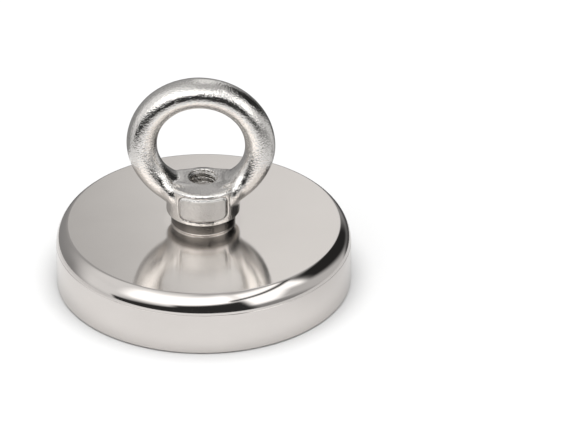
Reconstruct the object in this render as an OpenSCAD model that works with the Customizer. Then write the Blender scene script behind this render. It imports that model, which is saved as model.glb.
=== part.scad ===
// Magnet fishing magnet: a steel pot with a ring magnet potted inside it,
// a countersunk screw up through the middle, and a cast eye nut on the screw.
// Origin: centre of the magnetic face. +Z runs up through the eye. Millimetres.

/* [Pot] */
// Outside diameter of the steel pot
pot_d = 60; // [58:1:66]
// Height of the pot at the edge of its top face
pot_h = 13; // [13:0.5:16]
// Rise of the slightly crowned top face from its edge to the centre
crown = 0.8; // [0.3:0.1:1]
// Radius of the rounded shoulder above the wall
shoulder_r = 5.5; // [4:0.1:6]
// Angle that the shoulder turns through before the tighter top corner
shoulder_angle = 50; // [40:1:60]
// Radius of the corner between the shoulder and the top face
corner_r = 0.8; // [0.5:0.1:1.5]
// Thickness of the wall, which is the outer pole
wall = 3.5; // [3:0.1:4.5]
// Depth of the cavity that holds the magnet
cavity_depth = 7.5; // [7:0.1:8]

/* [Magnet] */
// Outside diameter of the ring magnet
magnet_d = 50; // [46:1:50]
// Hole through the ring magnet
magnet_hole_d = 19; // [18:0.5:22]
// How far the magnet and the centre core sit inside the rim
face_recess = 0.3; // [0.2:0.05:0.4]
// How far the two epoxy rings sit below the magnet's face
epoxy_dip = 0.15; // [0.1:0.05:0.2]
// Thickness of the adhesive between magnet and pot
film_t = 0.2; // [0.1:0.05:0.3]

/* [Centre core] */
// Outside diameter of the steel core round the screw
core_d = 15; // [14:0.5:16]
// Hole for the screw through the core and the pot
clearance_d = 6.6; // [6.4:0.1:6.8]

/* [Screw] */
// Outside diameter of the thread
screw_d = 6; // [6:M6]
// Length from the face of the head to the tip
screw_l = 20; // [18:0.5:20]
// Diameter of the countersunk head
head_d = 12; // [11.3:0.1:12]
// Width across the flats of the hexagon socket
socket_af = 4; // [4:4 mm key]
// Depth of the hexagon socket
socket_depth = 2.3; // [1.8:0.1:2.4]

/* [Eye nut] */
// Diameter of the collar that stands on the pot
collar_d = 13.1; // [12:0.1:13.4]
// Height of the collar
collar_h = 2.7; // [2:0.1:3.2]
// Diameter of the round base
base_d = 14.9; // [14:0.1:16]
// Height of the round base, without the collar
base_h = 7.3; // [6.5:0.1:8.5]
// Height of the middle of the eye above the top of the base
eye_rise = 7.9; // [7.5:0.1:8.5]
// Diameter of the eye, measured along the middle of its section
eye_mid_d = 24; // [23:0.5:26]
// Width of the eye's section, in the plane of the eye
eye_w = 6.2; // [5.5:0.1:6.5]
// Thickness of the eye's section, across the plane of the eye
eye_t = 6.7; // [6:0.1:7]
// Width of the raised pads on the front and back of the base
pad_w = 9.6; // [8:0.1:10.5]
// Height of the raised pads
pad_h = 4.9; // [4:0.1:5]
// How far the pads stand out
pad_rise = 0.25; // [0.15:0.05:0.4]

/* [Hidden] */

round_fn = 120;          // facets of a full turn in a preview
arc_steps = 10;          // steps along each arc of the outline and along the crown
chamfer = 0.3;           // broken edges of the pot, the magnet and the core
rim_chamfer = 0.5;       // outside edge of the magnetic face
lip = 0.05;              // overrun of a cutter past the face it opens

pot_r = pot_d / 2;
cavity_r = pot_r - wall;
top_z = pot_h + crown;               // seat of the eye nut
core_r = core_d / 2;
seat_r = core_r;                     // flat seat in the middle of the crown
clearance_r = clearance_d / 2;

// The top corner's centre lies on the line from the shoulder's centre to where they meet
corner_x = pot_r - shoulder_r + (shoulder_r - corner_r) * cos(shoulder_angle);
corner_z = pot_h - corner_r;
shoulder_z = corner_z - (shoulder_r - corner_r) * sin(shoulder_angle);
flat_r = corner_x;                   // edge of the top face

magnet_r = magnet_d / 2;
magnet_hole_r = magnet_hole_d / 2;
magnet_top = cavity_depth - film_t;
epoxy_z = face_recess + epoxy_dip;

thread_gap = 0.05;                   // radial gap between screw and nut threads
head_gap = 0.07;                     // radial gap round the countersunk head
thread_r = screw_d / 2 - thread_gap;
head_r = head_d / 2;
head_land = 0.3;                     // straight band round the head
head_z = face_recess + head_land;    // where the cone of the head starts
tip_z = face_recess + screw_l;
tip_chamfer = 0.5;
socket_r = socket_af / 2 / cos(30);

collar_r = collar_d / 2;
base_r = base_d / 2;
base_z = top_z + collar_h;
base_top = base_z + base_h;
eye_z = base_top + eye_rise;
eye_mid_r = eye_mid_d / 2;
nut_bore_r = screw_d / 2;
mouth_chamfer = 0.35;                // lead-in at both ends of the nut's thread
collar_round = 0.35;                 // rounded edge at the foot of the collar
base_round = 0.4;                    // rounded lower edge of the base
base_rim = 0.8;                      // rounded upper edge of the base
pad_corner = 1.2;
pad_z = base_z + base_h / 2 + 0.1;

// Height of the crowned top face at radius r
function crown_z(r) =
    top_z - crown * (r * r - seat_r * seat_r) / (flat_r * flat_r - seat_r * seat_r);

// Points on a circle of radius r round (cx, cy), from angle a0 to a1 in degrees
function arc(cx, cy, r, a0, a1, n = arc_steps) =
    [for (i = [0:n]) let (a = a0 + (a1 - a0) * i / n) [cx + r * cos(a), cy + r * sin(a)]];

// A ring of rectangular section with its four edges broken
module ring(r0, r1, z0, z1, c = 0) {
    rotate_extrude($fn = round_fn)
        polygon(c == 0
            ? [[r0, z0], [r1, z0], [r1, z1], [r0, z1]]
            : [[r0 + c, z0], [r1 - c, z0], [r1, z0 + c], [r1, z1 - c],
               [r1 - c, z1], [r0 + c, z1], [r0, z1 - c], [r0, z0 + c]]);
}

// Steel cup, open at the bottom, with a crowned top and a round upper edge
module pot_shell() {
    crown_line = [for (i = [0:arc_steps - 1])
        let (r = seat_r + (flat_r - seat_r) * i / arc_steps) [r, crown_z(r)]];
    color([0.80, 0.78, 0.75])
        rotate_extrude($fn = round_fn)
            polygon(concat(
                [[clearance_r, cavity_depth], [clearance_r, top_z]],
                crown_line,
                arc(corner_x, corner_z, corner_r, 90, shoulder_angle, 4),
                arc(pot_r - shoulder_r, shoulder_z, shoulder_r, shoulder_angle, 0),
                [[pot_r, rim_chamfer], [pot_r - rim_chamfer, 0],
                 [cavity_r + chamfer, 0], [cavity_r, chamfer], [cavity_r, cavity_depth]]));
}

// Nickel-plated ring magnet
module ring_magnet() {
    color([0.72, 0.71, 0.69])
        ring(magnet_hole_r, magnet_r, face_recess, magnet_top, chamfer);
}

// Thin film that bonds the magnet to the pot
module magnet_adhesive_film() {
    color([0.85, 0.80, 0.62])
        ring(magnet_hole_r, magnet_r, magnet_top, cavity_depth);
}

// Epoxy between the magnet and the wall of the pot
module outer_epoxy_ring() {
    color([0.16, 0.16, 0.17])
        ring(magnet_r, cavity_r, epoxy_z, cavity_depth);
}

// Epoxy between the magnet and the centre core
module inner_epoxy_ring() {
    color([0.16, 0.16, 0.17])
        ring(core_r, magnet_hole_r, epoxy_z, cavity_depth);
}

// Steel core with the countersink that the head of the screw sits in
module centre_core() {
    sink_r = head_r + head_gap;
    sink_depth = sink_r - clearance_r;
    color([0.70, 0.69, 0.67])
        rotate_extrude($fn = round_fn)
            polygon([[sink_r, face_recess], [sink_r, head_z],
                     [clearance_r, head_z + sink_depth], [clearance_r, cavity_depth],
                     [core_r, cavity_depth], [core_r, face_recess + chamfer],
                     [core_r - chamfer, face_recess]]);
}

// Countersunk screw with a hexagon socket, head down, tip up
module countersunk_screw() {
    color([0.62, 0.62, 0.63])
        difference() {
            rotate_extrude($fn = round_fn)
                polygon([[0, face_recess], [head_r, face_recess], [head_r, head_z],
                         [thread_r, head_z + head_r - thread_r],
                         [thread_r, tip_z - tip_chamfer],
                         [thread_r - tip_chamfer, tip_z], [0, tip_z]]);
            translate([0, 0, face_recess - lip])
                cylinder(r = socket_r, h = socket_depth + lip, $fn = 6);
        }
}

// Rounded rectangle, from straight bars and true circles
module rounded_rectangle(w, h, r) {
    square([w - 2 * r, h], center = true);
    square([w, h - 2 * r], center = true);
    for (x = [-1, 1], y = [-1, 1])
        translate([x * (w / 2 - r), y * (h / 2 - r)])
            circle(r = r, $fn = 48);
}

// Collar and round base of the eye nut
module nut_base() {
    rotate_extrude($fn = round_fn)
        polygon(concat(
            [[0, top_z]],
            arc(collar_r - collar_round, top_z + collar_round, collar_round, -90, 0, 4),
            [[collar_r, base_z]],
            arc(base_r - base_round, base_z + base_round, base_round, -90, 0, 4),
            arc(base_r - base_rim, base_top - base_rim, base_rim, 0, 90, 6),
            [[0, base_top]]));
}

// Raised pads on the front and back of the base
module nut_pads() {
    intersection() {
        translate([0, 0, base_z])
            cylinder(r = base_r + pad_rise, h = base_h, $fn = round_fn);
        translate([0, 0, pad_z])
            rotate([90, 0, 0])
                linear_extrude(2 * pot_r, center = true)
                    rounded_rectangle(pad_w, pad_h, pad_corner);
    }
}

// The eye: a ring of oval section, standing in the XZ plane
module eye_ring() {
    translate([0, 0, eye_z])
        scale([1, eye_t / eye_w, 1])
            rotate([90, 0, 0])
                rotate_extrude($fn = round_fn)
                    translate([eye_mid_r, 0])
                        circle(d = eye_w, $fn = 64);
}

// Cast eye nut, with a thread right through its base
module eye_nut() {
    color([0.74, 0.73, 0.71])
        difference() {
            union() {
                nut_base();
                nut_pads();
                eye_ring();
            }
            translate([0, 0, top_z - lip])
                cylinder(r = nut_bore_r, h = base_top - top_z + 2 * lip, $fn = round_fn);
            translate([0, 0, base_top - mouth_chamfer])
                cylinder(r1 = nut_bore_r, r2 = nut_bore_r + mouth_chamfer + lip,
                         h = mouth_chamfer + lip, $fn = round_fn);
            translate([0, 0, top_z - lip])
                cylinder(r1 = nut_bore_r + mouth_chamfer + lip, r2 = nut_bore_r,
                         h = mouth_chamfer + lip, $fn = round_fn);
        }
}

pot_shell();
ring_magnet();
magnet_adhesive_film();
outer_epoxy_ring();
inner_epoxy_ring();
centre_core();
countersunk_screw();
eye_nut();
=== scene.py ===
"""Magnet fishing magnet: the visual model, its studio and its camera.

Sizes are in millimetres, in the CAD model's own frame, and are turned into metres as each
mesh is made: +Z runs up the screw, and the eye's ring stands in the XZ plane.
"""

import math

import bpy
import numpy as np
from mathutils import Euler, Matrix, Vector


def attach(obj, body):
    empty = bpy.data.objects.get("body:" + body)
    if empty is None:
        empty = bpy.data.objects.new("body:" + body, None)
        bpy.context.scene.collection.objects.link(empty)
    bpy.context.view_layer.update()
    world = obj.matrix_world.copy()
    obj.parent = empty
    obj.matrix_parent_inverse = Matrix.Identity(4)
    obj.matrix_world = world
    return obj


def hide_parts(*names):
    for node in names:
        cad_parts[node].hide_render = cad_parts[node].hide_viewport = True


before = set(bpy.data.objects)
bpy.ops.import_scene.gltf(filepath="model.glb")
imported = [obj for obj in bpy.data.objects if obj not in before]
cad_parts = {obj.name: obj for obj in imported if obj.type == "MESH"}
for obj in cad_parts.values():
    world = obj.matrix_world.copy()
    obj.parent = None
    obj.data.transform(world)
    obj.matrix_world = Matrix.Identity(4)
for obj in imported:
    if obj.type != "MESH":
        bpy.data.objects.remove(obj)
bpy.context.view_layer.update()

MM = 0.001
TURN = 2 * math.pi

# ---------------------------------------------------------------- sizes

POT_R = 30.0
POT_H = 13.0
CROWN = 0.8
SEAT_R = 7.5
SHOULDER_R = 5.5
SHOULDER_ANGLE = 50.0
CORNER_R = 0.8
FLAT_R = POT_R - SHOULDER_R + (SHOULDER_R - CORNER_R) * math.cos(math.radians(SHOULDER_ANGLE))
CORNER_Z = POT_H - CORNER_R
SHOULDER_Z = CORNER_Z - (SHOULDER_R - CORNER_R) * math.sin(math.radians(SHOULDER_ANGLE))
TOP_Z = POT_H + CROWN
HAIRLINE_ANGLE = 4.7
CAVITY_R = 26.5
CAVITY_DEPTH = 7.5
RIM_CHAMFER = 0.3
CLEARANCE_R = 3.3

FACE_Z = 0.3
FILL_Z = 0.45
MAGNET_R = (9.5, 25.0)
MAGNET_TOP = 7.3
CORE_R = 7.5

PITCH = 1.0
SCREW_MAJOR_R = 2.95
NUT_MAJOR_R = 3.05
THREAD_DEPTH = 0.54
HEAD_R = 6.0
HEAD_LAND_Z = 0.6
HEAD_EDGE = 0.15
HEAD_GAP = 0.07
NECK_Z = HEAD_LAND_Z + HEAD_R - SCREW_MAJOR_R
TIP_Z = 20.3
TIP_CHAMFER = 0.5
SOCKET_AF = 4.0
SOCKET_TOP = 2.6

COLLAR_R = 6.55
BASE_R = 7.5
BASE_Z = (16.5, 23.8)
BASE_DOME = 0.3
PAD = (9.6, 4.9)
PAD_Z = sum(BASE_Z) / 2 + 0.1
PAD_CORNER = 1.2
PAD_RISE = 0.28
RING_Z = 31.7
RING_R = 12.0
RING_SECTION = (3.1, 3.35)
LEG_SPREAD = 1.4
LEG_TAPER = 0.3
LEAN = 0.0276
LEAN_FROM_Z = BASE_Z[0] + 2

# edges and unevenness of the casting
PAD_EDGE = (-0.13, 0.07)
PAD_GROOVE_DEPTH = 0.08
PAD_GROOVE_AT = 0.19
PAD_GROOVE_WIDTH = 0.12
TOP_EDGE = 0.8
TOP_EDGE_EXTRA = 4.0
LOWER_EDGE = 0.4
COLLAR_EDGE = 0.2
COLLAR_FILLET = 0.3
LEG_FILLET = 0.5
LEG_FILLET_EXTRA = 1.7
UNEVENNESS = 0.045

# ---------------------------------------------------------------- mesh helpers


def make_piece(name, vertices, faces, body, nodes, normals=None, sharp=None):
    """A mesh object from points in millimetres, which rides on a body and stands for CAD nodes."""
    mesh = bpy.data.meshes.new(name)
    mesh.from_pydata((np.asarray(vertices) * MM).tolist(), [], faces)
    mesh.polygons.foreach_set("use_smooth", [True] * len(mesh.polygons))
    if normals is not None:
        mesh.normals_split_custom_set_from_vertices(np.asarray(normals).tolist())
    if sharp is not None:
        mesh.set_sharp_from_angle(angle=math.radians(sharp))
    mesh.update()
    piece = bpy.data.objects.new(name, mesh)
    bpy.context.scene.collection.objects.link(piece)
    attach(piece, body)
    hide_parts(*nodes)
    return piece


def arc(centre, radius, start, end, steps):
    """Outline points (r, z, normal r, normal z) on an arc; a start above its end runs clockwise.

    A negative radius is a hollow corner, whose normals point at the centre."""
    points = []
    for angle in np.radians(np.linspace(start, end, steps + 1)):
        out = (math.cos(angle), math.sin(angle))
        side = math.copysign(1, radius)
        points.append((centre[0] + abs(radius) * out[0], centre[1] + abs(radius) * out[1],
                       side * out[0], side * out[1]))
    return points


def revolve_rows(outline, segments):
    """Vertices and normals of an outline turned about Z, one row of points for each outline point."""
    phi = np.linspace(0, TURN, segments, endpoint=False)
    r, z, nr, nz = np.array(outline).T[:, :, None]
    c, s = np.cos(phi), np.sin(phi)
    flat = np.ones_like(phi)
    points = np.stack([r * c, r * s, z * flat], -1)
    normals = np.stack([nr * c, nr * s, nz * flat], -1)
    return points, normals


def grid_faces(rows, segments, closed):
    """Quads between rows of points that run round Z. A closed grid joins its last row to its first."""
    faces = []
    for i in range(rows if closed else rows - 1):
        a, b = i * segments, ((i + 1) % rows) * segments
        for j in range(segments):
            k = (j + 1) % segments
            faces.append((a + j, a + k, b + k, b + j))
    return faces


def revolve(name, outline, body, nodes, segments=256):
    """A closed ring-like solid of revolution from an outline that runs anticlockwise in (r, z)."""
    points, normals = revolve_rows(outline, segments)
    rows = len(outline)
    faces = grid_faces(rows, segments, closed=True)
    return make_piece(name, points.reshape(-1, 3), faces, body, nodes,
                      normals=normals.reshape(-1, 3))


def capped_grid(points, low_centre, high_centre):
    """Vertices and faces of rows of points, closed by a fan to a centre point at each end."""
    rows, segments = points.shape[:2]
    vertices = np.concatenate([points.reshape(-1, 3), [low_centre, high_centre]])
    faces = grid_faces(rows, segments, closed=False)
    first, last = rows * segments, rows * segments + 1
    top = (rows - 1) * segments
    for j in range(segments):
        k = (j + 1) % segments
        faces.append((first, k, j))
        faces.append((last, top + j, top + k))
    return vertices, faces


def smoothstep(low, high, value):
    t = np.clip((value - low) / (high - low), 0, 1)
    return t * t * (3 - 2 * t)


# ---------------------------------------------------------------- pot, magnet, core and fillers


def crown_points(steps):
    """The pot's crowned top, from the edge of its flat seat out to the shoulder."""
    slope = CROWN / (FLAT_R ** 2 - SEAT_R ** 2)
    points = []
    for r in np.linspace(SEAT_R, FLAT_R, steps + 1):
        tilt = 2 * slope * r if r > SEAT_R else 0.0
        size = math.hypot(tilt, 1)
        points.append((r, TOP_Z - slope * (r * r - SEAT_R ** 2), tilt / size, 1 / size))
    return points


def build_pot():
    edge = 0.25
    inner_corner = 0.3
    rim_r = POT_R - RIM_CHAMFER
    cavity_z = CAVITY_DEPTH
    outline = []
    # outside: foot chamfer, wall, shoulder, rounded edge of the top, crown
    outline += arc((rim_r - edge, edge), edge, -90, -45, 4)
    outline += arc((POT_R - edge, RIM_CHAMFER + edge * 0.6), edge, -45, 0, 4)
    shoulder = (POT_R - SHOULDER_R, SHOULDER_Z)
    outline += arc(shoulder, SHOULDER_R, 0, HAIRLINE_ANGLE - 1.3, 3)
    # a hairline left by the polishing wheel, where the shoulder starts
    half_angle, depth, lip_tilt = 1.05, 0.03, 0.55
    for step in (-1.0, -0.6, -0.2, 0.2, 0.6, 1.0):
        angle = math.radians(HAIRLINE_ANGLE + half_angle * step)
        radius = SHOULDER_R - depth * (1 - step * step)
        tilted = angle - lip_tilt * step
        outline.append((shoulder[0] + radius * math.cos(angle), shoulder[1] + radius * math.sin(angle),
                        math.cos(tilted), math.sin(tilted)))
    outline += arc(shoulder, SHOULDER_R, HAIRLINE_ANGLE + 1.3, SHOULDER_ANGLE, 26)
    outline += arc((FLAT_R, CORNER_Z), CORNER_R, SHOULDER_ANGLE, 86, 10)
    outline += crown_points(24)[::-1]
    # hole for the screw, cavity, inner edge of the rim
    outline += arc((CLEARANCE_R + edge, TOP_Z - edge), edge, 90, 180, 5)
    outline += arc((CLEARANCE_R + edge, cavity_z + edge), edge, 180, 270, 5)
    outline += arc((CAVITY_R - inner_corner, cavity_z - inner_corner), -inner_corner, 90, 0, 5)
    outline += arc((CAVITY_R + edge, edge), edge, 180, 270, 5)
    return revolve("pot", outline, "pot", ["pot_shell"], segments=360)


def build_magnet():
    low, high = MAGNET_R
    edge = 0.3
    outline = arc((high - edge, FACE_Z + edge), edge, -90, 0, 6)
    outline += arc((high - edge, MAGNET_TOP - edge), edge, 0, 90, 6)
    outline += arc((low + edge, MAGNET_TOP - edge), edge, 90, 180, 6)
    outline += arc((low + edge, FACE_Z + edge), edge, 180, 270, 6)
    return revolve("magnet", outline, "pot", ["ring_magnet"])


def build_filler(name, low, high, node, seed):
    """Cast epoxy between two walls: its open face climbs the walls and sags between them."""
    segments, across = 256, 12
    sag = 0.22
    phi = np.linspace(0, TURN, segments, endpoint=False)
    rng = np.random.default_rng(seed)
    wave = sum(rng.uniform(0.3, 1.0) / k * np.cos(k * phi + rng.uniform(0, TURN)) for k in range(2, 9))
    wave = (wave - wave.min()) / (wave.max() - wave.min())
    rows = []
    for t in np.linspace(-1, 1, across + 1):
        dip = sag * (1 - t * t) ** 0.8 * (0.75 + 0.25 * wave)
        rows.append((low + (high - low) * (t + 1) / 2, FILL_Z + dip + 0.03 * wave))
    rows.append((high, np.full_like(phi, CAVITY_DEPTH)))
    rows.append((low, np.full_like(phi, CAVITY_DEPTH)))
    points = np.array([np.stack([r * np.cos(phi), r * np.sin(phi), z], -1) for r, z in rows])
    faces = grid_faces(len(rows), segments, closed=True)
    return make_piece(name, points.reshape(-1, 3), faces, "pot", [node], sharp=40)


def build_core():
    edge = 0.2
    sink_r = HEAD_R + HEAD_GAP
    cone_top = HEAD_LAND_Z + sink_r - CLEARANCE_R
    outline = arc((CORE_R - edge, FACE_Z + edge), edge, -90, 0, 5)
    outline += arc((CORE_R - edge, CAVITY_DEPTH - edge), edge, 0, 90, 5)
    outline += arc((CLEARANCE_R + edge, CAVITY_DEPTH - edge), edge, 90, 180, 5)
    outline += arc((CLEARANCE_R + edge, cone_top + edge * 0.4), edge, 180, 225, 4)
    outline += arc((sink_r + edge * 0.2, HEAD_LAND_Z + edge * 0.5), edge, 225, 270, 3)[:1]
    outline += arc((sink_r + edge, FACE_Z + edge), edge, 180, 270, 5)
    return revolve("core", outline, "pot", ["centre_core"])


# ---------------------------------------------------------------- threads and screw


def thread_radius(phi, z, major, depth, crest):
    """Radius of a right-hand thread form: flat crest, straight flanks, flat root."""
    root = 0.25
    flank = (1 - crest - root) / 2
    phase = (z / PITCH - phi / TURN) % 1.0
    from_crest = np.abs(phase - 0.5) - crest / 2
    return major - depth * np.clip(from_crest / flank, 0, 1)


def hexagon_radius(phi, across_flats):
    sixth = math.pi / 3
    return across_flats / 2 / np.cos((phi % sixth) - sixth / 2)


def build_screw():
    segments = 144
    phi = np.linspace(0, TURN, segments, endpoint=False)
    rows = []

    def row(r, z):
        rows.append(np.stack([r * np.cos(phi), r * np.sin(phi), np.broadcast_to(z, phi.shape)], -1))

    # socket, from its floor out to the face of the head
    socket = hexagon_radius(phi, SOCKET_AF)
    mouth = 0.14
    drill_cone = 0.35
    for share in (0.35, 0.7):
        row(SOCKET_AF / 2 * share, SOCKET_TOP + drill_cone * (1 - share))
    row(np.minimum(socket, SOCKET_AF / 2 * 0.985), SOCKET_TOP)
    row(socket * 0.997, SOCKET_TOP - 0.02)
    for z in np.linspace(SOCKET_TOP - 0.08, FACE_Z + mouth + 0.05, 6):
        row(socket, z)
    row(socket, FACE_Z + mouth)
    row(socket + mouth * 0.8, FACE_Z + 0.03)
    row(socket + mouth, FACE_Z)
    for share in (0.25, 0.5, 0.75):
        row(socket + mouth + (HEAD_R - 0.2 - socket - mouth) * share, FACE_Z)
    # land and cone of the head
    for angle in np.radians(np.linspace(-90, 0, 5)):
        row(HEAD_R - HEAD_EDGE + HEAD_EDGE * math.cos(angle),
            FACE_Z + HEAD_EDGE + HEAD_EDGE * math.sin(angle))
    for z in np.linspace(HEAD_LAND_Z, NECK_Z + 0.15, 10):
        row(np.full_like(phi, HEAD_R - 0.02 - (z - HEAD_LAND_Z)), z)
    # thread, which runs out near the head and under the chamfer at the tip
    for z in np.arange(NECK_Z + 0.3, TIP_Z - 0.01, 0.055):
        thread = thread_radius(phi, z, SCREW_MAJOR_R, THREAD_DEPTH, 0.13)
        grown = smoothstep(NECK_Z + 0.2, NECK_Z + 1.4, z)
        neck = SCREW_MAJOR_R - 0.3
        tip = SCREW_MAJOR_R - TIP_CHAMFER + (TIP_Z - z)
        row(np.minimum(neck + (thread - neck) * grown, tip), z)
    row(np.full_like(phi, SCREW_MAJOR_R - TIP_CHAMFER - 0.08), TIP_Z)
    row(np.full_like(phi, 1.2), TIP_Z)
    vertices, faces = capped_grid(np.array(rows), (0, 0, SOCKET_TOP + drill_cone), (0, 0, TIP_Z))
    return make_piece("screw", vertices, faces, "screw", ["countersunk_screw"], sharp=34)


def thread_cutter():
    """What the tap and the countersink take out of the eye nut."""
    segments = 144
    phi = np.linspace(0, TURN, segments, endpoint=False)
    low, high = TOP_Z - 0.6, BASE_Z[1] + BASE_DOME + 0.6
    chamfer = 0.15
    rows = []
    for z in np.arange(low, high, 0.05):
        # a nut's thread is the screw's space, so its grooves stand where the screw's crests are
        thread = thread_radius(phi, z, NUT_MAJOR_R, THREAD_DEPTH * 0.95, 0.2)
        mouth = max(TOP_Z + chamfer - z, z - BASE_Z[1] - BASE_DOME * 0.83 + chamfer) + NUT_MAJOR_R - 0.1
        r = np.maximum(thread, mouth)
        rows.append(np.stack([r * np.cos(phi), r * np.sin(phi), np.full_like(phi, z)], -1))
    vertices, faces = capped_grid(np.array(rows), (0, 0, low), (0, 0, rows[-1][0, 2]))
    mesh = bpy.data.meshes.new("thread_cutter")
    mesh.from_pydata((vertices * MM).tolist(), [], faces)
    cutter = bpy.data.objects.new("thread_cutter", mesh)
    bpy.context.scene.collection.objects.link(cutter)
    return cutter


# ---------------------------------------------------------------- eye nut


def round_max(a, b, k):
    """Where two solids overlap, with the edge between them rounded to radius k."""
    return np.minimum(np.maximum(a, b), -k) + np.hypot(np.maximum(a + k, 0), np.maximum(b + k, 0))


def round_min(a, b, k):
    """Two solids joined, with a fillet of radius k in the corner between them."""
    return np.maximum(np.minimum(a, b), k) - np.hypot(np.maximum(k - a, 0), np.maximum(k - b, 0))


class Casting:
    """The eye nut before it is drilled, as a signed distance in millimetres."""

    def __init__(self, seed):
        rng = np.random.default_rng(seed)
        self.waves = []
        for _ in range(10):
            direction = rng.normal(size=3)
            direction /= np.linalg.norm(direction)
            self.waves.append((direction * TURN / rng.uniform(4.5, 11.0), rng.uniform(0, TURN)))

    def waviness(self, p):
        """Slow hollows left by casting and tumbling: 0 on the nominal surface, 1 at the deepest."""
        total = sum(np.sin(p @ k + phase) for k, phase in self.waves)
        return np.clip(0.5 + total / 12, 0, 1)

    def __call__(self, p):
        x, y, z = p[..., 0], p[..., 1], p[..., 2]
        r = np.hypot(x, y)
        x = x + LEAN * np.maximum(z - LEAN_FROM_Z, 0)
        # raised pads, front and back
        px = np.abs(x) - PAD[0] / 2 + PAD_CORNER
        pz = np.abs(z - PAD_Z) - PAD[1] / 2 + PAD_CORNER
        pad = np.hypot(np.maximum(px, 0), np.maximum(pz, 0))
        pad = pad + np.minimum(np.maximum(px, pz), 0) - PAD_CORNER
        groove = PAD_GROOVE_DEPTH * np.exp(-((pad - PAD_GROOVE_AT) / PAD_GROOVE_WIDTH) ** 2)
        rise = PAD_RISE * (1 - smoothstep(*PAD_EDGE, pad)) - groove
        rise = rise * smoothstep(2.0, 4.0, np.abs(y))
        top = BASE_Z[1] + BASE_DOME * (1 - (r / BASE_R) ** 2)
        # the edge of the top is crisp in front and well rounded at the back
        edge = TOP_EDGE + TOP_EDGE_EXTRA * smoothstep(-0.5, 4.5, y)
        base = round_max(r - BASE_R - rise, z - top, edge)
        base = round_max(base, BASE_Z[0] - z, LOWER_EDGE)
        collar = round_max(r - COLLAR_R, TOP_Z - z, COLLAR_EDGE)
        collar = np.maximum(collar, z - BASE_Z[0] - 2)
        # the ring's legs grow thinner across and wider front to back as they near the base
        taper = LEG_TAPER / 2 * smoothstep(0, 10, RING_Z - z)
        q = np.hypot(x, z - RING_Z) - RING_R + taper
        a = RING_SECTION[0] - taper
        spread = smoothstep(4.0, 8.5, RING_Z - z) * (1 - smoothstep(6.2, 9.0, np.abs(x)))
        b = RING_SECTION[1] + LEG_SPREAD * spread
        scaled = np.hypot(q / a, y / b)
        slope = np.hypot(q / a ** 2, y / b ** 2) + 1e-9
        ring = scaled * (scaled - 1) / slope
        # the fillet is wide only on the base's top, in front of and behind the threaded hole
        crease = smoothstep(22.5, 24.2, z) * smoothstep(1.5, 3.5, np.abs(y))
        fillet = LEG_FILLET + LEG_FILLET_EXTRA * crease * (1 - smoothstep(5.5, 7.2, r))
        solid = round_min(base, ring, fillet)
        uneven = UNEVENNESS * smoothstep(BASE_Z[0], BASE_Z[0] + 2, z) * self.waviness(p)
        return round_min(solid + uneven, collar, COLLAR_FILLET)

    def gradient(self, p, step=0.01):
        parts = []
        for axis in np.eye(3) * step:
            parts.append(self(p + axis) - self(p - axis))
        return np.stack(parts, -1) / (2 * step)


def surface_net(distance, low, high, cell):
    """A closed mesh of quads on a signed distance's surface, one point in each cell it crosses."""
    axes = [np.arange(a, b + cell, cell) for a, b in zip(low, high)]
    shape = tuple(len(a) for a in axes)
    field = np.empty(shape)
    grid_yz = np.stack(np.meshgrid(axes[1], axes[2], indexing="ij"), -1)
    for i, x in enumerate(axes[0]):
        field[i] = distance(np.concatenate([np.full(grid_yz.shape[:2] + (1,), x), grid_yz], -1))
    inside = field < 0
    corners = [(i, j, k) for i in (0, 1) for j in (0, 1) for k in (0, 1)]

    def part(array, corner):
        return array[tuple(slice(c, c + n - 1) for c, n in zip(corner, shape))]

    count = sum(part(inside, c).astype(np.int8) for c in corners)
    cells = np.argwhere((count > 0) & (count < 8))
    number = np.full(tuple(n - 1 for n in shape), -1, np.int64)
    number[tuple(cells.T)] = np.arange(len(cells))
    origin = np.array(low, float)
    total, hits = np.zeros((len(cells), 3)), np.zeros(len(cells))
    for a in corners:
        for axis in range(3):
            if a[axis]:
                continue
            b = tuple(c + (1 if i == axis else 0) for i, c in enumerate(a))
            fa, fb = field[tuple((cells + a).T)], field[tuple((cells + b).T)]
            cross = (fa < 0) != (fb < 0)
            share = np.where(cross, fa / np.where(cross, fa - fb, 1), 0)
            point = (cells + a).astype(float)
            point[:, axis] += share
            total[cross] += point[cross]
            hits += cross
    vertices = origin + cell * total / hits[:, None]
    faces = []
    for axis in range(3):
        u, v = (axis + 1) % 3, (axis + 2) % 3
        ahead = [slice(1, -1)] * 3
        ahead[axis] = slice(0, -1)
        behind = list(ahead)
        behind[axis] = slice(1, None)
        fa, fb = inside[tuple(ahead)], inside[tuple(behind)]
        edges = np.argwhere(fa != fb)
        leaving = fa[tuple(edges.T)]
        edges += [0 if i == axis else 1 for i in range(3)]
        ring = []
        for du, dv in ((-1, -1), (0, -1), (0, 0), (-1, 0)):
            cell_at = edges.copy()
            cell_at[:, u] += du
            cell_at[:, v] += dv
            ring.append(number[tuple(cell_at.T)])
        quads = np.stack(ring, -1)
        quads[~leaving] = quads[~leaving][:, ::-1]
        faces.append(quads)
    return vertices, np.concatenate(faces)


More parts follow.
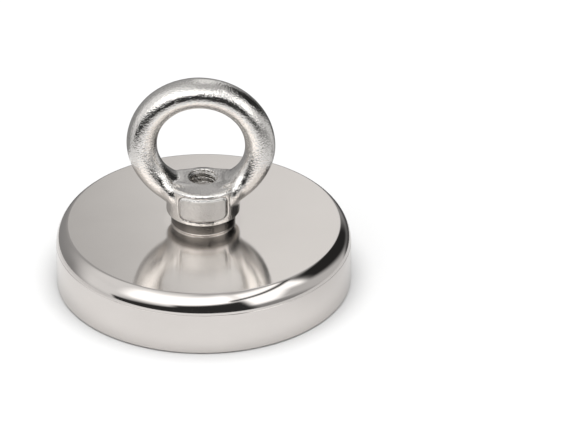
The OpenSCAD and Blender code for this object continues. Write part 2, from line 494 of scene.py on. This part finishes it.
def build_eye_nut():
    casting = Casting(seed=7)
    cell = 0.13
    reach = RING_R + RING_SECTION[0] + 0.5
    low = (-reach, -BASE_R - 1, TOP_Z - 0.6)
    high = (reach, BASE_R + 1, RING_Z + reach)
    vertices, quads = surface_net(casting, low, high, cell)
    for _ in range(3):
        slope = casting.gradient(vertices)
        vertices -= slope * (casting(vertices) / (slope ** 2).sum(-1))[:, None]
    nut = make_piece("eye_nut_cast", vertices, quads.tolist(), "eye", ["eye_nut"])
    cutter = thread_cutter()
    bore = nut.modifiers.new("bore", "BOOLEAN")
    bore.operation, bore.solver, bore.object = "DIFFERENCE", "MANIFOLD", cutter
    bpy.context.view_layer.update()
    cut = bpy.data.meshes.new_from_object(nut.evaluated_get(bpy.context.evaluated_depsgraph_get()))
    nut.modifiers.clear()
    nut.data = cut
    bpy.data.objects.remove(cutter)
    cut.polygons.foreach_set("use_smooth", [True] * len(cut.polygons))
    cut.set_sharp_from_angle(angle=math.radians(38))
    return nut


# ---------------------------------------------------------------- materials


def add_node(tree, kind, inputs=(), **settings):
    """A shader node with its settings, and its inputs linked or filled in."""
    node = tree.nodes.new("ShaderNode" + kind)
    for key, value in settings.items():
        setattr(node, key, value)
    for key, value in dict(inputs).items():
        if hasattr(value, "is_output"):
            tree.links.new(value, node.inputs[key])
        else:
            node.inputs[key].default_value = value
    return node


class Shader:
    """A node material and short ways to wire one."""

    def __init__(self, name):
        self.material = bpy.data.materials.new(name)
        self.material.use_nodes = True
        self.tree = self.material.node_tree
        self.tree.nodes.clear()
        self.surface = self.node("BsdfPrincipled")
        self.node("OutputMaterial", {"Surface": self.surface.outputs[0]})
        self.place = self.node("TexCoord").outputs["Object"]

    def node(self, kind, inputs=(), **settings):
        return add_node(self.tree, kind, inputs, **settings)

    def link(self, output, socket):
        self.tree.links.new(output, socket)

    def set(self, **values):
        for key, value in values.items():
            self.surface.inputs[key.replace("_", " ")].default_value = value

    def math(self, operation, a, b=0.0):
        return self.node("Math", {0: a, 1: b}, operation=operation).outputs[0]

    def noise(self, scale, detail=3.0, roughness=0.55, place=None, **settings):
        inputs = {"Vector": place or self.place, "Scale": scale, "Detail": detail, "Roughness": roughness}
        return self.node("TexNoise", inputs, **settings).outputs["Fac"]

    def remap(self, value, low, high, to_low, to_high, kind="LINEAR"):
        inputs = {"Value": value, "From Min": low, "From Max": high, "To Min": to_low, "To Max": to_high}
        return self.node("MapRange", inputs, interpolation_type=kind, clamp=True).outputs["Result"]

    def past(self, value, middle, half):
        """How far a coordinate lies beyond half of its middle, in millimetres, or 0."""
        distance = self.math("ABSOLUTE", self.math("SUBTRACT", value, middle * MM))
        return self.math("MAXIMUM", self.math("SUBTRACT", self.math("DIVIDE", distance, MM), half), 0.0)

    def band(self, value, middle, half):
        """A soft line: 1 at its middle, 0 from half a width away."""
        distance = self.math("ABSOLUTE", self.math("SUBTRACT", value, middle))
        return self.remap(distance, 0.0, half, 1.0, 0.0, "SMOOTHSTEP")

    def mix_colour(self, share, a, b):
        return self.node("Mix", {0: share, 6: a, 7: b}, data_type="RGBA").outputs[2]

    def stretched(self, x, y, z):
        return self.node("Mapping", {"Vector": self.place, "Scale": (x, y, z)}).outputs[0]

    def polar(self, around):
        """Object coordinates as (radius, angle times around, height), for marks that run round Z."""
        xyz = self.node("SeparateXYZ", {0: self.place})
        x, y, z = xyz.outputs
        squared = self.math("ADD", self.math("MULTIPLY", x, x), self.math("MULTIPLY", y, y))
        radius = self.math("SQRT", squared)
        angle = self.math("MULTIPLY", self.math("ARCTAN2", y, x), around)
        return self.node("CombineXYZ", {0: radius, 1: angle, 2: z}).outputs[0]

    def bump(self, *layers):
        """Bumps laid one on another, each a height value with its depth in metres."""
        normal = None
        for height, depth in layers:
            inputs = {"Strength": 1.0, "Distance": depth, "Height": height}
            if normal is not None:
                inputs["Normal"] = normal
            normal = self.node("Bump", inputs).outputs[0]
        self.link(normal, self.surface.inputs["Normal"])

    def radial_tangent(self):
        tangent = self.node("Tangent", direction_type="RADIAL", axis="Z")
        self.link(tangent.outputs[0], self.surface.inputs["Tangent"])


def turned_nickel():
    """The pot's top: nickel over fine rings left by the lathe."""
    s = Shader("turned_nickel")
    rings = s.noise(14000, detail=2, place=s.polar(0.0004))
    smudge = s.noise(90, detail=4)
    tint = s.mix_colour(smudge, (0.715, 0.675, 0.642, 1), (0.785, 0.745, 0.71, 1))
    s.link(tint, s.surface.inputs["Base Color"])
    roughness = s.math("ADD", s.remap(smudge, 0.3, 0.7, 0.105, 0.12), s.remap(rings, 0.3, 0.7, 0.0, 0.015))
    s.link(roughness, s.surface.inputs["Roughness"])
    s.set(Metallic=1.0, Anisotropic=1.0, Anisotropic_Rotation=0.25)
    s.radial_tangent()
    s.bump((rings, 0.0000006))
    return s.material


def plated_nickel():
    """The pot's shoulder and wall: bright nickel, nearly a mirror."""
    s = Shader("plated_nickel")
    rings = s.noise(9000, detail=2, place=s.polar(0.0006))
    smudge = s.noise(120, detail=5)
    tint = s.mix_colour(smudge, (0.672, 0.638, 0.612, 1), (0.735, 0.698, 0.67, 1))
    s.link(tint, s.surface.inputs["Base Color"])
    s.link(s.remap(smudge, 0.3, 0.75, 0.04, 0.09), s.surface.inputs["Roughness"])
    s.set(Metallic=1.0)
    s.bump((rings, 0.0000002), (s.noise(500, detail=2), 0.0000016))
    return s.material


def cast_steel():
    """The eye nut: cast stainless steel, tumbled and polished, with rough-cast fields on its pads."""
    s = Shader("cast_steel")
    grain = s.noise(3000, detail=1)
    pebble = s.noise(1500, detail=2)
    speckle = s.remap(s.noise(3400, detail=2, roughness=0.7), 0.42, 0.62, 0.0, 1.0)
    pits = s.node("TexVoronoi", {"Vector": s.place, "Scale": 950.0, "Randomness": 1.0}, feature="F1")
    pit = s.remap(pits.outputs["Distance"], 0.0, 0.22, 1.0, 0.0, "SMOOTHSTEP")
    stain = s.noise(160, detail=4)
    x, y, z = s.node("SeparateXYZ", {0: s.place}).outputs
    # distance to the outline of the raised pad, in millimetres
    out_x = s.past(x, 0.0, PAD[0] / 2 - PAD_CORNER)
    out_z = s.past(z, PAD_Z, PAD[1] / 2 - PAD_CORNER)
    pad = s.math("SQRT", s.math("ADD", s.math("MULTIPLY", out_x, out_x), s.math("MULTIPLY", out_z, out_z)))
    pad = s.math("SUBTRACT", pad, PAD_CORNER)
    on_front = s.remap(s.math("ABSOLUTE", y), 4 * MM, 5 * MM, 0.0, 1.0)
    field = s.math("MULTIPLY", on_front, s.remap(pad, -0.28, -0.18, 1.0, 0.0))
    # painted shade: a dark line in the crease just outside the raised pad
    crease = s.math("MULTIPLY", on_front, s.band(pad, 0.16, 0.11))
    # painted highlight: a bright line just inside the raised pad's outline, on its rounded edge
    painted_pad_highlight = s.math("MULTIPLY", on_front, s.band(pad, -0.06, 0.12))
    # painted shade: the faced top is painted darker, and it is also duller than the polished ring
    level = s.node("SeparateXYZ", {0: s.node("TexCoord").outputs["Normal"]}).outputs[2]
    shaded_dull_top = s.math("MULTIPLY", s.remap(level, 0.95, 0.985, 0.0, 1.0),
                   s.band(s.math("DIVIDE", z, MM), BASE_Z[1] + 0.1, 0.9))
    # painted shade: the turned neck between base and pot is painted dark, darkest up under the base
    neck = s.remap(z, (TOP_Z + 0.3) * MM, (TOP_Z + 0.36) * MM, 0.0, 1.0)
    neck = s.math("MULTIPLY", neck, s.remap(z, (BASE_Z[0] - 0.3) * MM, (BASE_Z[0] + 0.1) * MM, 1.0, 0.0))
    painted_neck_shade = s.mix_colour(s.remap(z, (TOP_Z + 0.4) * MM, (BASE_Z[0] - 0.6) * MM, 0.0, 1.0),
                             (0.17, 0.155, 0.14, 1), (0.06, 0.055, 0.05, 1))
    tint = s.mix_colour(stain, (0.80, 0.777, 0.75, 1), (0.93, 0.905, 0.875, 1))
    tint = s.mix_colour(s.math("MULTIPLY", pit, 0.3), tint, (0.25, 0.23, 0.21, 1))
    tint = s.mix_colour(s.math("MULTIPLY", speckle, 0.22), tint, (0.30, 0.285, 0.27, 1))
    # painted shade on the upward-facing top
    tint = s.mix_colour(s.math("MULTIPLY", shaded_dull_top, 0.75), tint, (0.42, 0.405, 0.39, 1))
    tint = s.mix_colour(field, tint, (0.77, 0.755, 0.735, 1))
    # the pad edge's painted highlight
    tint = s.mix_colour(painted_pad_highlight, tint, (0.95, 0.94, 0.92, 1))
    # the crease's painted shade
    tint = s.mix_colour(s.math("MULTIPLY", crease, 0.8), tint, (0.14, 0.13, 0.12, 1))
    # the neck's painted shade goes over everything else
    tint = s.mix_colour(s.math("MULTIPLY", neck, 0.95), tint, painted_neck_shade)
    s.link(tint, s.surface.inputs["Base Color"])
    polished = s.remap(stain, 0.3, 0.7, 0.09, 0.13)
    rough = s.math("ADD", s.math("MULTIPLY", field, 0.25), s.math("MULTIPLY", shaded_dull_top, 0.12))
    s.link(s.math("ADD", polished, rough), s.surface.inputs["Roughness"])
    s.set(Metallic=1.0)
    height = s.math("SUBTRACT", grain, s.math("MULTIPLY", pit, 0.3))
    rough_cast = s.math("MULTIPLY", s.noise(2300, detail=3, roughness=0.7), field)
    s.bump((pebble, 0.000025), (height, 0.00006), (rough_cast, 0.00012))
    return s.material


def satin_nickel():
    """The ring magnet: satin nickel, lightly scuffed where it has met steel."""
    s = Shader("satin_nickel")
    scuff = s.noise(260, detail=6, roughness=0.7)
    lines = s.noise(1, detail=4, place=s.stretched(5200, 260, 900))
    scratch = s.remap(lines, 0.64, 0.72, 0.0, 1.0, "SMOOTHSTEP")
    tint = s.mix_colour(scuff, (0.60, 0.585, 0.56, 1), (0.72, 0.705, 0.68, 1))
    s.link(tint, s.surface.inputs["Base Color"])
    s.link(s.math("ADD", s.remap(scuff, 0.3, 0.7, 0.24, 0.4), s.math("MULTIPLY", scratch, 0.12)),
           s.surface.inputs["Roughness"])
    s.set(Metallic=1.0)
    s.bump((scuff, 0.000004), (scratch, -0.000004))
    return s.material


def turned_steel():
    """The core: bare turned steel with coarser rings."""
    s = Shader("turned_steel")
    rings = s.noise(5200, detail=3, place=s.polar(0.0006))
    stain = s.noise(300, detail=4)
    tint = s.mix_colour(stain, (0.46, 0.45, 0.44, 1), (0.58, 0.57, 0.555, 1))
    s.link(tint, s.surface.inputs["Base Color"])
    s.link(s.remap(rings, 0.3, 0.7, 0.24, 0.36), s.surface.inputs["Roughness"])
    s.set(Metallic=1.0, Anisotropic=0.6)
    s.radial_tangent()
    s.bump((rings, 0.000003))
    return s.material


def screw_steel():
    """The screw: rolled and headed stainless steel."""
    s = Shader("screw_steel")
    flow = s.noise(2600, detail=3, place=s.polar(0.002))
    stain = s.noise(700, detail=4)
    tint = s.mix_colour(stain, (0.44, 0.435, 0.43, 1), (0.60, 0.595, 0.585, 1))
    s.link(tint, s.surface.inputs["Base Color"])
    s.link(s.remap(stain, 0.3, 0.7, 0.22, 0.38), s.surface.inputs["Roughness"])
    s.set(Metallic=1.0)
    s.bump((flow, 0.000004), (s.noise(3200, detail=3), 0.000004))
    return s.material


def black_epoxy():
    """The filler: cast black epoxy with dust and a few burst bubbles in its skin."""
    s = Shader("black_epoxy")
    bubbles = s.node("TexVoronoi", {"Vector": s.place, "Scale": 620.0, "Randomness": 1.0}, feature="F1")
    bubble = s.remap(bubbles.outputs["Distance"], 0.0, 0.16, 1.0, 0.0, "SMOOTHSTEP")
    dust = s.noise(900, detail=6, roughness=0.7)
    dusty = s.remap(dust, 0.55, 0.8, 0.0, 1.0)
    tint = s.mix_colour(dusty, (0.010, 0.010, 0.011, 1), (0.035, 0.034, 0.033, 1))
    s.link(tint, s.surface.inputs["Base Color"])
    s.link(s.remap(dust, 0.35, 0.75, 0.16, 0.42), s.surface.inputs["Roughness"])
    s.set(IOR=1.55)
    s.bump((s.noise(380, detail=3), 0.00004), (bubble, -0.00003))
    return s.material


def adhesive():
    """The film that bonds the magnet: a cured, slightly cloudy amber."""
    s = Shader("adhesive")
    cloud = s.noise(500, detail=5)
    tint = s.mix_colour(cloud, (0.62, 0.52, 0.30, 1), (0.78, 0.70, 0.48, 1))
    s.link(tint, s.surface.inputs["Base Color"])
    s.link(s.remap(cloud, 0.3, 0.7, 0.35, 0.55), s.surface.inputs["Roughness"])
    s.bump((cloud, 0.00002))
    return s.material


def dress(piece, *materials):
    piece.data.materials.clear()
    for material in materials:
        piece.data.materials.append(material)


def dress_pot(pot):
    """The lathe's rings cover the top only; shoulder, wall and underside are smooth."""
    dress(pot, plated_nickel(), turned_nickel())
    for face in pot.data.polygons:
        r = math.hypot(face.center.x, face.center.y) / MM
        on_top = r < FLAT_R and face.center.z / MM > POT_H - 0.01 and face.normal.z > 0.9
        face.material_index = 1 if on_top else 0


# ---------------------------------------------------------------- studio


def add_stage_plane(name, material, size, z, round_steps=0):
    mesh = bpy.data.meshes.new(name)
    if round_steps:
        ring = [(size * math.cos(a), size * math.sin(a), z)
                for a in np.linspace(0, TURN, round_steps, endpoint=False)]
        mesh.from_pydata(ring, [], [list(range(round_steps))])
    else:
        mesh.from_pydata([(x * size, y * size, z) for x, y in ((-1, -1), (1, -1), (1, 1), (-1, 1))], [],
                         [(0, 1, 2, 3)])
    plane = bpy.data.objects.new(name, mesh)
    bpy.context.scene.collection.objects.link(plane)
    plane.data.materials.append(material)
    return plane


def floor_material(white, shade=0.0):
    """White paper, which may be painted darker beside the magnet as painted shade."""
    s = Shader("studio_floor")
    x = s.node("SeparateXYZ", {0: s.place}).outputs[0]
    # painted shade: the paper darkens to either side of the magnet
    beside = s.remap(s.math("ABSOLUTE", x), 0.028, 0.050, 0.0, shade, "SMOOTHSTEP")
    s.link(s.mix_colour(beside, (white, white, white, 1), (0, 0, 0, 1)), s.surface.inputs["Base Color"])
    s.set(Roughness=0.9, Specular_IOR_Level=0.0)
    return s.material


def add_floor():
    """The table's white top. Reflections see only the sheet near the pot, and the dark beyond it."""
    table = add_stage_plane("floor", floor_material(0.5), 3.0, 0.0)
    table.visible_glossy = False
    above_table = 0.00002
    # the sheet carries painted shade beside the magnet, which the pot's wall mirrors
    sheet = add_stage_plane("floor_sheet", floor_material(0.46, shade=0.22), 0.062, above_table,
                            round_steps=96)
    sheet.location = (-0.005, -0.018, 0)
    sheet.visible_camera = sheet.visible_diffuse = sheet.visible_shadow = False


def add_world():
    """The room: a grey surround with two soft boxes and the dark gaps between them."""
    world = bpy.data.worlds.new("studio")
    bpy.context.scene.world = world
    world.use_nodes = True
    tree = world.node_tree
    tree.nodes.clear()

    def node(kind, inputs=(), **settings):
        return add_node(tree, kind, inputs, **settings)

    def calc(operation, a, b=0.0, c=0.0):
        return node("Math", {0: a, 1: b, 2: c}, operation=operation).outputs[0]

    x, y, z = node("SeparateXYZ", {0: node("TexCoord").outputs["Generated"]}).outputs
    azimuth = calc("MULTIPLY", calc("ARCTAN2", x, y), 180 / math.pi)
    elevation = calc("MULTIPLY", calc("ARCSINE", z), 180 / math.pi)

    def panel(light, value, az, el, width, height, soft=8.0, lean=0.0):
        """A patch of the room, in degrees: azimuth 0 is behind the magnet and 90 on its right."""
        across = calc("WRAP", calc("SUBTRACT", azimuth, az), 180.0, -180.0)
        up = calc("SUBTRACT", elevation, el)
        c, s = math.cos(math.radians(lean)), math.sin(math.radians(lean))
        u = calc("ADD", calc("MULTIPLY", across, c), calc("MULTIPLY", up, s))
        v = calc("SUBTRACT", calc("MULTIPLY", up, c), calc("MULTIPLY", across, s))
        share = 1.0
        for distance, half in ((u, width / 2), (v, height / 2)):
            mask = node("MapRange", {"Value": calc("ABSOLUTE", distance), "From Min": half - soft,
                                     "From Max": half + soft, "To Min": 1.0, "To Max": 0.0},
                        interpolation_type="SMOOTHSTEP").outputs["Result"]
            share = calc("MULTIPLY", share, mask)
        return calc("ADD", calc("MULTIPLY", light, calc("SUBTRACT", 1.0, share)),
                    calc("MULTIPLY", share, value))

    light = node("MapRange", {"Value": elevation, "From Min": -10.0, "From Max": 70.0,
                              "To Min": 0.36, "To Max": 0.64}).outputs["Result"]
    light = panel(light, 1.12, 10, 42, 26, 48, soft=5)            # bright strip behind
    light = panel(light, 1.10, -116, 49, 104, 62, soft=20)        # glow on the left
    light = panel(light, 1.10, -98, 8, 44, 44, soft=14)           # lit wall low on the left
    light = panel(light, 2.2, -162, 38, 94, 40, soft=10, lean=-6)  # soft box, front left
    light = panel(light, 2.0, 122, 31, 56, 56, soft=6)            # soft box, front right
    light = panel(light, 0.03, 60, 18, 62, 54, soft=8)            # dark gap, back right
    light = panel(light, 0.75, 80, -6, 86, 26, soft=7, lean=30)   # lit wall low on the right
    light = panel(light, 0.06, 120, 43, 80, 6, soft=3, lean=-14)  # frame over the right soft box
    light = panel(light, 0.04, -160, -3, 100, 27, soft=3, lean=-13)  # dark room, camera's left
    light = panel(light, 0.04, 172, 2, 56, 46, soft=5, lean=-12)  # dark room, camera's right
    light = panel(light, 0.85, 180, -56, 200, 68, soft=4)         # far floor, in front
    light = panel(light, 0.10, 16, -18, 60, 16, soft=6)           # dark beyond the floor, behind
    seen = node("LightPath").outputs["Is Camera Ray"]
    strength = calc("ADD", calc("MULTIPLY", light, calc("SUBTRACT", 1.0, seen)), seen)
    background = node("Background", {"Strength": strength})
    node("OutputWorld", {"Surface": background.outputs[0]})


def add_overhead_light():
    """A wide soft light that whitens the table. The metal doesn't mirror it."""
    data = bpy.data.lights.new("overhead", "AREA")
    data.shape, data.size = "DISK", 1.2
    data.energy = 20.5
    light = bpy.data.objects.new("overhead", data)
    bpy.context.scene.collection.objects.link(light)
    light.location = (0, 0, 1.1)
    light.visible_glossy = False


def add_camera():
    """A long lens, a little above the magnet, level but for the picture's own slight turn."""
    elevation, roll = 30.7, -0.352
    # the view's middle lies right of the magnet's axis and below its middle height
    aim = Vector((16.58, 0, 15)) * MM
    sink = 0.63 * MM
    distance, view_width = 4.0, 0.1158
    tilt = math.radians(elevation)
    up = Vector((0, math.sin(tilt), math.cos(tilt)))
    back = Vector((0, -math.cos(tilt), math.sin(tilt)))
    data = bpy.data.cameras.new("camera")
    data.sensor_width = 36
    data.lens = data.sensor_width * distance / view_width
    camera = bpy.data.objects.new("camera", data)
    bpy.context.scene.collection.objects.link(camera)
    turn = Euler((math.radians(90 - elevation), 0, 0)).to_matrix().to_4x4()
    camera.matrix_world = (Matrix.Translation(aim - up * sink + back * distance) @ turn
                           @ Matrix.Rotation(math.radians(roll), 4, "Z"))
    bpy.context.scene.camera = camera


# ---------------------------------------------------------------- scene

steel_pot = build_pot()
dress_pot(steel_pot)
dress(build_magnet(), satin_nickel())
epoxy = black_epoxy()
dress(build_filler("epoxy_outer", MAGNET_R[1], CAVITY_R, "outer_epoxy_ring", seed=3), epoxy)
dress(build_filler("epoxy_inner", CORE_R, MAGNET_R[0], "inner_epoxy_ring", seed=4), epoxy)
dress(build_core(), turned_steel())
dress(build_screw(), screw_steel())
dress(build_eye_nut(), cast_steel())
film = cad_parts["magnet_adhesive_film"]
dress(film, adhesive())

add_floor()
add_world()
add_overhead_light()
add_camera()
bpy.context.scene.view_settings.view_transform = "Standard"
